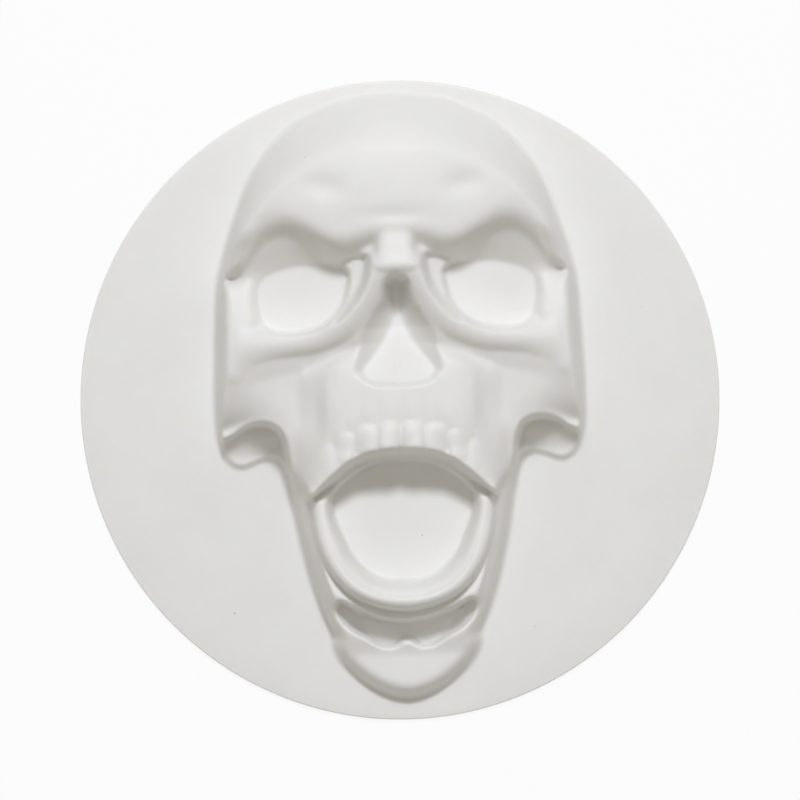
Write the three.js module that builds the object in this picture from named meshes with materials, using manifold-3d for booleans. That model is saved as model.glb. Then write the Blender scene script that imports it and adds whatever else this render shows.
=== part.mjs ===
// Silicone skull cake mould, standing flange down on a worktop: a thin wall of one even thickness,
// pressed into the relief of a shouting skull, with a flat round flange about its open side.
// Millimetres, +Z up out of the worktop, +Y towards the crown, the origin under the disc's centre.
import * as THREE from 'three';
import Module from 'manifold-3d';

// Driving dimensions.
const FLANGE_DIAMETER = 230;
const FLANGE_THICKNESS = 2;
const WALL_THICKNESS = 2;
const CROWN_MARGIN = 6;
const CHIN_MARGIN = 8.4;
const SKULL_WIDTH = 131.7;
const RELIEF_HEIGHT = 51.5;
const FOOT_FILLET = 2.8;
const SHOULDER_CROWN = 27;
const SHOULDER_TEMPLE = 7;
const SHOULDER_CHEEK = 5.5;

// Where the moulding is divided into its named regions: across at the brow, the corners of the
// mouth and the top of the chin, and lengthwise between the nose and each eye.
const BROW_CUT = 64;
const MOUTH_CUT = -33;
const CHIN_CUT = -81;
const NOSE_CUT = 16.5;

// Fineness of the skin: stations around the outline, wider apart on the smooth crown, and rings
// from the midline to the outline, closer together at the outline.
const STATIONS = 164;
const CROWN_SPARING = 0.4;
const RINGS = 18;
const RING_CROWDING = 1.25;

const clamp = (v, low, high) => Math.min(Math.max(v, low), high);
const over = (v) => Math.max(v, 0);
const ease = (v) => {
  const t = clamp(v, 0, 1);
  return t * t * (3 - 2 * t);
};

// A smooth curve through rows of numbers: x and y first, then whatever else varies along it. The
// skull is the same on both sides, so at the midline, x = 0, a curve runs straight across.
function curve(rows, closed = false, steps = 5) {
  const n = rows.length;
  const beyond = (end, inner) => (end[0] === 0 ? [-inner[0], ...inner.slice(1)] : end);
  const row = (i) => {
    if (closed) return rows[(i + n) % n];
    if (i < 0) return beyond(rows[0], rows[1]);
    return i < n ? rows[i] : beyond(rows[n - 1], rows[n - 2]);
  };
  const out = [];
  for (let i = 0; i < (closed ? n : n - 1); i++) {
    for (let k = 0; k < steps; k++) {
      const t = k / steps;
      out.push(row(i).map((b, c) => {
        const [a, d, e] = [row(i - 1)[c], row(i + 1)[c], row(i + 2)[c]];
        return 0.5 * (2 * b + (d - a) * t + (2 * a - 5 * b + 4 * d - e) * t * t + (3 * b - a - 3 * d + e) * t ** 3);
      }));
    }
  }
  out.push(closed ? rows[0] : rows[n - 1]);
  return out;
}

// Distance from a point to a path, with the path's other values at the nearest place.
function nearest(x, y, path) {
  let best = 1e18;
  let found = null;
  for (let i = 1; i < path.length; i++) {
    const [a, b] = [path[i - 1], path[i]];
    const [dx, dy] = [b[0] - a[0], b[1] - a[1]];
    const t = clamp(((x - a[0]) * dx + (y - a[1]) * dy) / (dx * dx + dy * dy + 1e-12), 0, 1);
    const d2 = (x - a[0] - t * dx) ** 2 + (y - a[1] - t * dy) ** 2;
    if (d2 < best) {
      best = d2;
      found = [a, b, t];
    }
  }
  const [a, b, t] = found;
  return [Math.sqrt(best), ...a.slice(2).map((v, c) => v + t * (b[c + 2] - v))];
}

// Depth inside an outline; negative outside it. A half outline starts and ends on the midline.
function depth(x, y, path) {
  let odd = false;
  for (let i = 1; i < path.length; i++) {
    const [a, b] = [path[i - 1], path[i]];
    if ((a[1] > y) !== (b[1] > y) && x < a[0] + ((y - a[1]) * (b[0] - a[0])) / (b[1] - a[1])) odd = !odd;
  }
  const d = nearest(x, y, path)[0];
  return odd ? d : -d;
}

// The higher or the lower of two surfaces, rounded where they meet.
const higher = (a, b, soft) => Math.max(a, b) + over(soft - Math.abs(a - b)) ** 2 / (4 * soft);
const lower = (a, b, soft) => -higher(-a, -b, soft);

// A round-topped ridge along rows of x, y, crest height and crest radius, with straight flanks.
function ridge(rows, slope) {
  const path = curve(rows);
  return (x, y) => {
    const [d, z, r] = nearest(x, y, path);
    const turn = (r * slope) / Math.hypot(1, slope);
    return z - r + Math.sqrt(r * r - Math.min(d, turn) ** 2) - slope * over(d - turn);
  };
}

// A raised area: level inside its outline, rolled over at its edge, then a straight flank.
function plateau(rows, top, roundness, slope) {
  const path = curve(rows);
  return (x, y) => {
    const inside = depth(x, y, path);
    const roll = clamp(1 - inside / roundness, 0, 1);
    return top(x, y) - roundness * (1 - Math.sqrt(1 - roll * roll * 0.96)) - slope * over(-inside);
  };
}

// A soft bump about a centre, with its own half width and half length.
function bump(x, y, cx, cy, a, b, turn = 0) {
  const c = Math.cos((turn * Math.PI) / 180);
  const s = Math.sin((turn * Math.PI) / 180);
  const [u, v] = [((x - cx) * c + (y - cy) * s) / a, ((y - cy) * c - (x - cx) * s) / b];
  return Math.exp(-u * u - v * v);
}

// Height or place of a curve that runs across the skull, read off at x.
function across(x, path, k) {
  let i = 1;
  while (i < path.length - 1 && path[i][0] < x) i++;
  const [a, b] = [path[i - 1], path[i]];
  return a[k] + clamp((x - a[0]) / (b[0] - a[0]), 0, 1) * (b[k] - a[k]);
}

// Outline of the skull on the flange, right half, from the top of the crown to the chin. The relief
// is drawn in these rows of numbers, and the driving dimensions stretch it to its finished size.
const silhouette = curve([
  [0, 109], [11, 108.2], [22, 105.6], [37.6, 97.4], [49.6, 83.4], [57, 66.4], [62.2, 50], [63.8, 42],
  [64.6, 32], [65.2, 18], [65.8, 4], [65.4, -10], [62.8, -18.6], [57.8, -22], [51.2, -19.9],
  [46.2, -19.4], [42.6, -22.6], [39.9, -32], [37.2, -47], [33.8, -62], [29.6, -75], [26, -83],
  [25.8, -88], [22.4, -94.2], [15.2, -100.8], [7.6, -105], [0, -106.6],
]);
const drawnTop = silhouette[0][1];
const drawnLength = drawnTop - silhouette[silhouette.length - 1][1];
const drawnWidth = 2 * Math.max(...silhouette.map((p) => p[0]));
const stretchX = SKULL_WIDTH / drawnWidth;
const stretchY = (FLANGE_DIAMETER - CROWN_MARGIN - CHIN_MARGIN) / drawnLength;
const finishedY = (y) => FLANGE_DIAMETER / 2 - CROWN_MARGIN + stretchY * (y - drawnTop);
const outline = silhouette.map(([x, y]) => [stretchX * x, finishedY(y)]);

// Even grid over the right half of the moulding, in finished millimetres.
const STEP = 1;
const COLS = Math.ceil((SKULL_WIDTH / 2 + FOOT_FILLET + 4 * STEP) / STEP) + 1;
const ROWS = 2 * Math.ceil((FLANGE_DIAMETER / 2 + 4 * STEP) / STEP) + 1;
const MIDDLE_ROW = (ROWS - 1) / 2;
const at = (grid, i, j) => grid[clamp(j, 0, ROWS - 1) * COLS + Math.min(Math.abs(i), COLS - 1)];
const fill = (value) => {
  const grid = new Float64Array(COLS * ROWS);
  for (let j = 0; j < ROWS; j++) {
    for (let i = 0; i < COLS; i++) grid[j * COLS + i] = value(i, j);
  }
  return grid;
};
const drawnX = (i) => (i * STEP) / stretchX;
const drawnY = (j) => drawnTop + ((j - MIDDLE_ROW) * STEP + CROWN_MARGIN - FLANGE_DIAMETER / 2) / stretchY;

// Pressed silicone is a little soft everywhere: each pass blurs a grid over its neighbours.
function softened(grid, passes) {
  let soft = grid;
  for (let pass = 0; pass < passes; pass++) {
    const before = soft;
    const wide = fill((i, j) => (at(before, i - 1, j) + 2 * at(before, i, j) + at(before, i + 1, j)) / 4);
    soft = fill((i, j) => (at(wide, i, j - 1) + 2 * at(wide, i, j) + at(wide, i, j + 1)) / 4);
  }
  return soft;
}

// Crown, forehead and brow: one broad dome that rolls over into the eye sockets along the brow.
const brow = curve([
  [0, 63, 46.6], [7, 62, 45.6], [13, 60.2, 43.8], [20, 59.4, 42], [26, 62.8, 41.8], [32, 66.6, 42],
  [39, 69.4, 41.8], [46, 69, 40.4], [52, 65.4, 38], [57, 60.4, 34.6], [61, 55, 30.6], [66, 49, 25],
]);
const browFoot = curve([
  [0, 56, 41], [8, 56, 39], [12, 55, 35], [17.5, 53.6, 31], [22.8, 55.2, 28.6], [28, 58.2, 26.4],
  [32, 60.4, 25], [37, 61.8, 24], [42, 61.4, 23.2], [47, 58.8, 22.4], [51.5, 53.6, 21.2],
  [54.6, 48.8, 20], [58, 46, 18.6], [66, 44.2, 13.6],
]);
const dome = (x, y) => 48.5 - 13 * (x / 62) ** 2.2 - 8 * (over(y - 66) / 43) ** 2;

function crownHeight(x, y) {
  const [crestY, crestZ] = [across(x, brow, 1), across(x, brow, 2)];
  const [footY, footZ] = [across(x, browFoot, 1), across(x, browFoot, 2)];
  if (y >= crestY) return dome(x, y) + (crestZ - dome(x, crestY)) * Math.exp(-(y - crestY) / 11);
  const roll = clamp((crestY - y) / (crestY - footY), 0, 1);
  return crestZ - (crestZ - footZ) * (0.1 * roll + 0.9 * roll ** 2.6);
}

// Face: a skin over named lines of the skull, each a list of x, y and height.
const faceLines = [
  // Top of the eye socket, under the brow.
  [
    [17.6, 51.2, 28], [22, 52.6, 26], [28, 54.4, 24], [33, 54.2, 22], [38, 53, 20.6], [43.5, 50.6, 19.4],
    [49.6, 46.8, 18.6],
  ],
  // Rolled arm from the nasal bone to the rim under the eye.
  [
    [7.6, 43.8, 46.2], [10.6, 38.6, 44], [14.6, 32.4, 41], [19.2, 27.6, 38.4], [25, 24.4, 35.8],
    [32, 22.7, 33.6], [40, 22, 32], [47, 21.8, 31], [54, 22, 29.6],
  ],
  // Both edges of the tear bone, between the arm and the eye socket.
  [
    [10, 53.2, 33], [10.9, 48, 32], [12.4, 42, 30.5], [15.4, 36.4, 29], [19.6, 31, 28],
  ],
  [
    [16.2, 53, 32.5], [16.3, 48, 31], [16.5, 43, 29.5], [17.5, 37, 28.5], [20.4, 31.6, 27.5],
  ],
  // Outer rim of the eye socket, and the side of the face outside it.
  [
    [51.8, 42.6, 24.5], [52, 36, 27], [51.4, 30, 29],
  ],
  [
    [60, 42.4, 24], [60, 36, 26.4], [59.4, 27, 27.8], [59, 18, 27.4], [60, 11, 25.6], [63.6, 4, 21.6],
  ],
  // Groove under the rim of the eye.
  [
    [14.6, 19.6, 36.4], [20, 18.2, 34.4], [25.5, 17, 31.6], [30.5, 16.4, 28.2], [36, 17.2, 26.8],
    [42, 16.8, 25.2], [47, 14.6, 23.6], [52, 9.6, 21.8], [57.4, 3, 18.6], [62.6, -3.6, 14],
  ],
  // Upper jaw: its top, its sides and its front.
  [
    [13.8, 15.8, 38], [17, 14.8, 37.8], [21, 13.8, 37.4], [25, 11.8, 36.4],
  ],
  [
    [25.2, 12, 36.2], [25.8, 6, 37], [26, 0, 37.2], [26, -6, 37], [25.8, -11.5, 36.2], [27, -18, 33.8],
    [30.4, -26, 28.6],
  ],
  [
    [14.5, 11, 38.8], [14.8, 0, 39.6], [14.5, -9, 39.4], [15, -18, 37.8],
  ],
  [
    [21.4, 12, 38], [21.8, 0, 38.8], [21.8, -9, 38.4], [22.6, -18, 36],
  ],
  [
    [0, 5, 39.6], [0, -4, 40.2], [0, -18, 39.4],
  ],
  // Step from the upper jaw to the cheek, and the lower edge of the cheek.
  [
    [31.6, 13, 30.6], [33.6, 5, 30], [34, -4, 29.6], [34.6, -12, 28], [35.4, -20, 25.4],
    [36.6, -30, 20.5],
  ],
  [
    [42.6, -8.4, 28], [46.8, -6.4, 28], [52, -5.6, 26.4], [56.6, -6.6, 23.4], [61, -8.6, 19],
    [66, -10, 12],
  ],
];
const PRESSURE = 0.02;
const SETTLING = 160;
const OVERSHOOT = 1.7;

// The skin settles like a membrane with a little pressure under it, on a coarse grid first and then
// on finer ones. Held knots keep the height that they come with.
function settled(base, held) {
  let skin = null;
  let coarserCols = 0;
  for (let coarse = 4; coarse >= 1; coarse /= 2) {
    const [cols, rows] = [Math.ceil(COLS / coarse), Math.ceil(ROWS / coarse)];
    const finer = new Float64Array(cols * rows);
    const fixed = new Uint8Array(cols * rows);
    for (let n = 0; n < cols * rows; n++) {
      const [i, j] = [n % cols, Math.floor(n / cols)];
      const source = j * coarse * COLS + i * coarse;
      fixed[n] = held[source];
      finer[n] = fixed[n] || !skin ? base[source] : skin[(j >> 1) * coarserCols + (i >> 1)];
    }
    for (const [x, y, z] of faceLines.flatMap((line) => curve(line, false, 24))) {
      const i = Math.round((x * stretchX) / STEP / coarse);
      const j = Math.round((finishedY(y) / STEP + MIDDLE_ROW) / coarse);
      fixed[j * cols + i] = 1;
      finer[j * cols + i] = z;
    }
    const lift = (PRESSURE * ((STEP * coarse) / stretchY) ** 2) / 4;
    for (let turn = 0; turn < SETTLING; turn++) {
      for (let j = 1; j < rows - 1; j++) {
        for (let i = (j + turn) % 2; i < cols - 1; i += 2) {
          const n = j * cols + i;
          if (fixed[n]) continue;
          const mean = (finer[n + (i ? -1 : 1)] + finer[n + 1] + finer[n - cols] + finer[n + cols]) / 4;
          finer[n] += OVERSHOOT * (mean + lift - finer[n]);
        }
      }
    }
    skin = finer;
    coarserCols = cols;
  }
  return skin;
}

// Eye socket: its level floor, a little lower towards the outside.
const socketFloor = curve([
  [17.3, 45.6], [17.3, 42.4], [18.3, 37.4], [20.4, 33], [23.4, 29.6], [27.6, 27], [33, 25.4],
  [39, 24.9], [44.6, 25.6], [48.2, 28.6], [49.6, 33.4], [50.2, 38.6], [49.4, 43], [46.8, 45.8],
  [41, 48.2], [33, 49.4], [25.6, 49.4], [19.6, 48.2],
], true);
const socketLevel = (x) => 16 + 0.24 * clamp(50 - x, 0, 33);

// Nasal bone, its rolled arms and the tear bones beside them.
const nasalArm = ridge([
  [0, 49.2, 50.6, 5], [4, 48, 50.2, 5.4], [7.6, 44, 48.8, 6], [11, 38.4, 46.4, 6.4],
  [15, 32.4, 43.6, 6.4], [19.6, 27.8, 41, 6], [25.4, 24.9, 38.4, 5], [32, 23, 36, 4.6],
  [40, 22.3, 34, 4.6], [48, 22.4, 32.4, 5.4], [55, 23.4, 29.6, 7],
], 2.4);
const nasalBone = plateau([
  [0, 62.6], [3.6, 61.9], [5.9, 59.4], [6.5, 55.6], [6.8, 51], [7.6, 47.2], [4.4, 45.4], [0, 45.2],
], (x, y) => 46.4 + 5.4 * clamp((61 - y) / 14, -0.5, 1), 4.2, 3.4);
const tearBone = curve([
  [11.6, 52.6], [11.5, 48], [12.9, 42], [15.8, 36.6], [20.2, 31.2], [22.6, 29.4], [20.6, 33.6],
  [18.4, 38], [17.4, 43], [17.2, 48], [16.8, 52], [14.4, 53],
], true);

// Lower edge of the face: below it the upper teeth and the cheeks end in a cliff.
const footLine = [...curve([
  [75, -11.6], [66, -11.2], [61, -9.8], [56.6, -7.4], [52, -6.2], [46.8, -6.8], [42.6, -9.2],
  [40.6, -14], [39, -22], [37.6, -30], [35, -34.2], [31.6, -32.2], [25.5, -26.6], [20, -22],
  [15, -19.4], [10, -18], [0, -17.2],
]), [-40, -17.2], [-40, 140], [90, 140], [90, -11.6], [75, -11.6]];

// Low swelling between the hollow of the cheek and the flange.
const lobe = plateau([
  [38, -4], [68, -4], [68, -12], [64, -19], [57.8, -22], [50.5, -20], [45.6, -19], [41, -22],
  [38, -22], [38, -4],
], (x) => 11.5 + 1.5 * ease((x - 52) / 10), 3.4, 3);

// Opening of the nose, and crowns of the upper teeth: x, y, half width and lean of each.
const noseFloor = curve([
  [0, 42.4], [1.6, 41.4], [2, 38.6], [1.8, 34], [1.9, 30], [4.4, 23], [8, 17.6], [11.6, 13],
  [12.9, 10.2], [11.4, 7.4], [7, 5.9], [0, 5.6],
]);
const upperTeeth = [
  [4.1, -12.8, 4.2, -2], [12, -13.6, 4, -9], [19.2, -16, 3.8, -22], [25, -20.4, 3.5, -34],
  [28.9, -25, 3, -42], [31.8, -29.2, 2.6, -48],
];

// Lower jaw: rim of the lower teeth, gum line, sides, chin and the hollow above it, and the mouth.
const lowerTeeth = plateau([
  [0, -74.2], [6, -73.6], [12.5, -71.8], [19, -68.4], [25, -62], [29, -54.6], [31.4, -46], [32.2, -36],
  [32, -27], [28, -21], [0, -17],
], (x, y) => 30.5 - 0.12 * over(y + 66) - 1.5 * over(y + 35), 2.8, 6);
const lowerGum = ridge([
  [0, -77.4, 25.6, 3.4], [8.6, -76.4, 25.6, 3.4], [16, -73.8, 25, 3.2], [23, -69.8, 24, 3],
  [27.6, -65, 22.8, 2.8], [31.2, -57.3, 21.4, 2.4], [33.6, -49, 20, 2.2], [35.2, -40, 18.6, 2.2],
  [36.6, -30, 16.6, 2.4], [37.6, -22, 15, 2.6],
], 2.6);
const jawSides = plateau([
  [0, -10], [34, -10], [37.6, -20], [38.8, -30], [38, -47], [34.8, -62], [30.6, -75], [27.5, -84],
  [26, -92], [16, -103], [0, -108],
], (x, y) => 20 - 6 * ease((-64 - y) / 12), 5, 4);
const chin = ridge([
  [0, -95.6, 15.6, 9], [9, -94, 15.6, 9], [16.2, -89.6, 15.2, 8], [21.4, -83.6, 14.6, 6],
], 1);
const chinLip = ridge([
  [0, -86.4, 16, 2.2], [4.6, -89, 15.2, 2.2], [8.8, -88.8, 15.2, 2.2], [14, -85.8, 15.2, 2.2],
  [19.4, -81.8, 15, 2.2], [24.6, -76.2, 14.6, 2.2],
], 1);
const chinHollow = curve([
  [0, -80.2], [9, -79], [17, -76], [23.6, -72.2], [23.2, -76.4], [18.8, -80.2], [13.6, -83.6],
  [8.8, -86.6], [4.6, -86.8], [2, -85.2], [0, -84.8],
]);
const mouthFloor = curve([
  [0, -21.4], [8, -22], [14, -24.2], [20, -28.2], [24.4, -32.2], [25.6, -36], [24.6, -42], [22, -48.6],
  [18.4, -56], [12.6, -61.8], [6.6, -64.4], [0, -65],
]);

function teethHeight(x, y) {
  let z = 0;
  for (const [tx, ty, half, lean] of upperTeeth) {
    const [c, s] = [Math.cos((lean * Math.PI) / 180), Math.sin((lean * Math.PI) / 180)];
    const u = ((x - tx) * c - (y - ty) * s) / half;
    const v = (x - tx) * s + (y - ty) * c;
    z = Math.max(z, 2.4 * Math.sqrt(over(1 - Math.abs(u) ** 3.4 - Math.abs(v / 5.2) ** 3.4)));
    z = Math.max(z, 0.5 * Math.exp(-((u / 0.75) ** 2) - ((v - 9) / 6) ** 2));
  }
  return z;
}

function lowerJaw(x, y) {
  let z = higher(higher(lowerTeeth(x, y), lowerGum(x, y), 1), jawSides(x, y), 3);
  z = higher(higher(z, chin(x, y), 2.5), chinLip(x, y), 1);
  return lower(z, 2 + 10 * over(-depth(x, y, chinHollow)), 1) - 60 * over(y + 13);
}

// Height of the relief over the flange, drawn size, from the skin of the face at that place.
function relief(x, y, skin) {
  let z = skin - 1.2 * bump(x, y, 24.6, 76.4, 5.4, 3, 8) - 0.8 * bump(x, y, 0, 65.6, 11, 2.8);
  z += 1.8 * bump(x, y, 45, 0, 8, 7);
  z = higher(higher(z, nasalArm(x, y), 2), nasalBone(x, y), 2.4);
  const tearOut = over(-depth(x, y, tearBone));
  const tearLevel = 30.5 + 0.16 * (y - 42) - 0.2 * (x - 14);
  z = lower(higher(z, tearLevel - 8 * tearOut, 0.6), tearLevel + 5 * tearOut + 4 * over(y - 48), 1);
  z += teethHeight(x, y);

  const cliff = 6 + 6 * over(depth(x, y, footLine) + 3.4);
  z = lower(z, cliff, 1.6 + 2 * ease((x - 38) / 4) + 4 * ease((x - 54) / 8));
  z = higher(z, lobe(x, y) - 2 * bump(x, y, 50, -9.6, 12, 4), 1.5);

  const socketIn = depth(x, y, socketFloor);
  const socketRise = 12 - 8 * ease((x - 44) / 5) * ease((y - 27) / 5);
  z = lower(z, socketLevel(x) - 0.25 * Math.sqrt(over(socketIn) + 0.01) + socketRise * over(-socketIn), 1);

  const noseOut = over(-depth(x, y, noseFloor));
  const noseLevel = 37.2 - 0.6 * clamp(y - 6, 0, 20) + 0.35 * over(y - 32) + 0.6 * bump(x, y, 0, 12, 1.6, 9);
  const noseSlope = across(y, [[7, 6], [10, 1.8], [20, 1.3], [26, 1.8], [32, 2.6], [38, 6], [44, 8]], 1);
  z = lower(z, noseLevel + noseSlope * noseOut + 3 * over(y - 42.5), 1.6);

  z = higher(z, lowerJaw(x, y), 2);
  return lower(z, 13 + 30 * over(-depth(x, y, mouthFloor)), 0.8);
}

// Steep wall of the silhouette beside the face and the jaw, and the share of its height that the
// crown reaches near the silhouette. Both go by the finished distance from the outline.
const sideWall = (y, edge) => {
  const wallTop = 28 - 6 * ease((-30 - y) / 30) - 8 * ease((-82 - y) / 8);
  const past = over((edge - SHOULDER_CHEEK) / stretchX);
  return wallTop * (1 - clamp(1 - edge / SHOULDER_CHEEK, 0, 1) ** 2.1) + 3 * past;
};
const crownWall = (y, edge) => {
  const shoulder = SHOULDER_TEMPLE + (SHOULDER_CROWN - SHOULDER_TEMPLE) * ease((y - 54) / 34);
  return 1 - clamp(1 - edge / shoulder, 0, 1) ** 2.1;
};

const FOOT_HEIGHT = 2;
const SKIN_PASSES = 2;
const FINISH_PASSES = 1;
const held = fill((i, j) => {
  const [x, y] = [drawnX(i), drawnY(j)];
  return y > across(x, browFoot, 1) || depth(x, y, socketFloor) > 0 ? 1 : 0;
});
const base = fill((i, j) => {
  const [x, y] = [drawnX(i), drawnY(j)];
  return depth(x, y, socketFloor) > 0 ? socketLevel(x) : crownHeight(x, y);
});
const skin = softened(settled(base, held), SKIN_PASSES);
const toEdge = fill((i, j) => depth(i * STEP, (j - MIDDLE_ROW) * STEP, outline));
const drawnRelief = fill((i, j) => {
  const [x, y, edge] = [drawnX(i), drawnY(j), at(toEdge, i, j)];
  if (edge <= 0) return FOOT_HEIGHT * over(1 + edge / FOOT_FILLET) ** 2;
  const whole = relief(x, y, at(skin, i, j));
  const faceWalled = lower(whole, sideWall(y, edge), 4);
  const walled = faceWalled + (whole * crownWall(y, edge) - faceWalled) * ease((y - 46) / 16);
  return over(walled + FOOT_HEIGHT * Math.exp(-edge / FOOT_FILLET));
});
const pressed = softened(drawnRelief, FINISH_PASSES);
const stretchZ = RELIEF_HEIGHT / Math.max(...pressed);
const topGrid = fill((i, j) => stretchZ * at(pressed, i, j) * ease(at(toEdge, i, j) / FOOT_FILLET + 1));

// Under skin: a ball as wide as the wall is thick rolls beneath the top skin and never breaks it.
const reach = Math.ceil(WALL_THICKNESS / STEP);
const underGrid = fill((i, j) => {
  let z = Infinity;
  for (let v = -reach; v <= reach; v++) {
    for (let u = -reach; u <= reach; u++) {
      const drop = WALL_THICKNESS ** 2 - (u * u + v * v) * STEP * STEP;
      if (drop >= 0) z = Math.min(z, at(topGrid, i + u, j + v) - Math.sqrt(drop));
    }
  }
  const rise = over(z + WALL_THICKNESS);
  return over(rise + (FLANGE_THICKNESS - WALL_THICKNESS) * ease(rise / 4));
});

// Height of a grid at any place, from its four nearest knots.
function sample(grid, x, y) {
  const u = Math.abs(x) / STEP;
  const v = y / STEP + MIDDLE_ROW;
  const [i, j] = [Math.floor(u), Math.floor(v)];
  const [a, b] = [u - i, v - j];
  const low = at(grid, i, j) * (1 - a) + at(grid, i + 1, j) * a;
  const high = at(grid, i, j + 1) * (1 - a) + at(grid, i + 1, j + 1) * a;
  return low * (1 - b) + high * b;
}

// Stations around the outline, clockwise from the crown, both halves from the right one.
const walk = [0];
for (let i = 1; i < outline.length; i++) {
  const long = Math.hypot(outline[i][0] - outline[i - 1][0], outline[i][1] - outline[i - 1][1]);
  walk.push(walk[i - 1] + long * (1 - CROWN_SPARING * ease((silhouette[i][1] - 56) / 14)));
}
const half = STATIONS / 2;
const rim = [];
for (let k = 0, i = 0; k <= half; k++) {
  const gone = (walk[walk.length - 1] * k) / half;
  while (i < walk.length - 2 && walk[i + 1] < gone) i++;
  const t = (gone - walk[i]) / (walk[i + 1] - walk[i]);
  const [a, b] = [outline[i], outline[i + 1]];
  rim[k] = [a[0] + t * (b[0] - a[0]), a[1] + t * (b[1] - a[1])];
  if (k > 0 && k < half) rim[STATIONS - k] = [-rim[k][0], rim[k][1]];
}
rim[half] = outline[outline.length - 1];

// Where a station's row of points starts on the midline, so that no two rows cross.
function spineY(y) {
  const drawn = drawnTop + (y - finishedY(drawnTop)) / stretchY;
  return finishedY(4 + 0.25 * (clamp(drawn, -22, 26) + 22) + 0.65 * over(drawn - 26) - 0.88 * over(-22 - drawn));
}

let reached = Infinity;
const spine = [];
for (let k = 0; k <= half; k++) {
  reached = Math.min(reached, rim[k][1]);
  spine[k] = spineY(reached);
  spine[(STATIONS - k) % STATIONS] = spine[k];
}

// Outward foot of the fillet at each station, where the shell hands over to the flat flange.
const around = (list, k) => list[(k + STATIONS) % STATIONS];
const footRing = rim.map(([x, y], k) => {
  const [a, b] = [around(rim, k - 2), around(rim, k + 2)];
  const [dx, dy] = [b[0] - a[0], b[1] - a[1]];
  const long = Math.hypot(dx, dy);
  return [x - (dy / long) * FOOT_FILLET, y + (dx / long) * FOOT_FILLET];
});

// Bearing of each station's point on the flange's edge, evened out over its neighbours.
const EVENING = 10;
const bearings = rim.map(([x, y], k) => {
  const own = Math.atan2(x, y);
  let sum = 0;
  for (let n = k - EVENING; n <= k + EVENING; n++) {
    const away = Math.atan2(around(rim, n)[0], around(rim, n)[1]) - own;
    sum += away - 2 * Math.PI * Math.round(away / (2 * Math.PI));
  }
  return own + sum / (2 * EVENING + 1);
});

function meshSolid(points, faces) {
  const mesh = new wasm.Mesh({
    numProp: 3,
    vertProperties: new Float32Array(points.flat()),
    triVerts: new Uint32Array(faces.flat()),
  });
  mesh.merge();
  return new wasm.Manifold(mesh);
}

// Four corners, counter-clockwise seen from outside, as two triangles.
const quad = (a, b, c, d) => [[a, b, c], [a, c, d]];

const wasm = await Module();
wasm.setup();

// The pressed shell, from its midline to the end of its foot fillet: top skin, under skin and edge.
function shellSolid() {
  const points = [];
  const faces = [];
  const grid = [];
  const spots = new Map();
  const place = (x, y, atFoot) => {
    const key = `${x.toFixed(4)} ${y.toFixed(4)}`;
    if (!spots.has(key)) {
      const z = atFoot ? 0 : sample(topGrid, x, y);
      const below = atFoot ? 0 : sample(underGrid, x, y);
      points.push([x, y, FLANGE_THICKNESS + z], [x, y, below]);
      spots.set(key, points.length - 2);
    }
    return spots.get(key);
  };
  for (let k = 0; k < STATIONS; k++) {
    const row = [];
    for (let ring = 0; ring < RINGS; ring++) {
      const share = 1 - (1 - ring / (RINGS - 1)) ** RING_CROWDING;
      const x = ring === 0 ? 0 : rim[k][0] * share;
      row.push(place(x, spine[k] + (rim[k][1] - spine[k]) * share, false));
    }
    const middleFoot = [0, 1].map((c) => (rim[k][c] + footRing[k][c]) / 2);
    row.push(place(middleFoot[0], middleFoot[1], false));
    row.push(place(footRing[k][0], footRing[k][1], true));
    grid.push(row);
  }
  const last = grid[0].length - 1;
  for (let k = 0; k < STATIONS; k++) {
    const next = (k + 1) % STATIONS;
    for (let j = 0; j < last; j++) {
      const ring = [grid[k][j], grid[k][j + 1], grid[next][j + 1], grid[next][j]];
      const fall = (a, b) => Math.abs(points[ring[a]][2] - points[ring[b]][2]);
      if (fall(1, 3) < fall(0, 2)) ring.push(ring.shift());
      faces.push(...quad(...ring).map((f) => f.reverse()), ...quad(...ring.map((i) => i + 1)));
    }
    const [a, b] = [grid[k][last], grid[next][last]];
    faces.push(...quad(b, b + 1, a + 1, a));
  }
  const whole = faces.filter(([a, b, c]) => a !== b && b !== c && c !== a);
  return meshSolid(points, whole);
}

// The flat flange: a plate round outside, cut to the foot of the shell inside.
function flangeSolid() {
  const points = [];
  const faces = [];
  for (let k = 0; k < STATIONS; k++) {
    const [x, y] = footRing[k];
    const [ox, oy] = [Math.sin(bearings[k]), Math.cos(bearings[k])].map((v) => (v * FLANGE_DIAMETER) / 2);
    points.push([x, y, 0], [x, y, FLANGE_THICKNESS], [ox, oy, FLANGE_THICKNESS], [ox, oy, 0]);
  }
  for (let k = 0; k < STATIONS; k++) {
    const next = (k + 1) % STATIONS;
    for (let j = 0; j < 4; j++) {
      const up = (j + 1) % 4;
      faces.push(...quad(4 * k + j, 4 * next + j, 4 * next + up, 4 * k + up));
    }
  }
  return meshSolid(points, faces);
}

// White matte silicone, the one material of the whole moulding.
function named(name, solid) {
  const mesh = solid.getMesh();
  const geometry = new THREE.BufferGeometry();
  geometry.setAttribute('position', new THREE.BufferAttribute(new Float32Array(mesh.vertProperties), 3));
  geometry.setIndex(new THREE.BufferAttribute(new Uint32Array(mesh.triVerts), 1));
  geometry.computeVertexNormals();
  const material = new THREE.MeshStandardMaterial({ color: 0xe6e4e1, roughness: 0.6, metalness: 0 });
  const part = new THREE.Mesh(geometry, material);
  part.name = name;
  return part;
}

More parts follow.
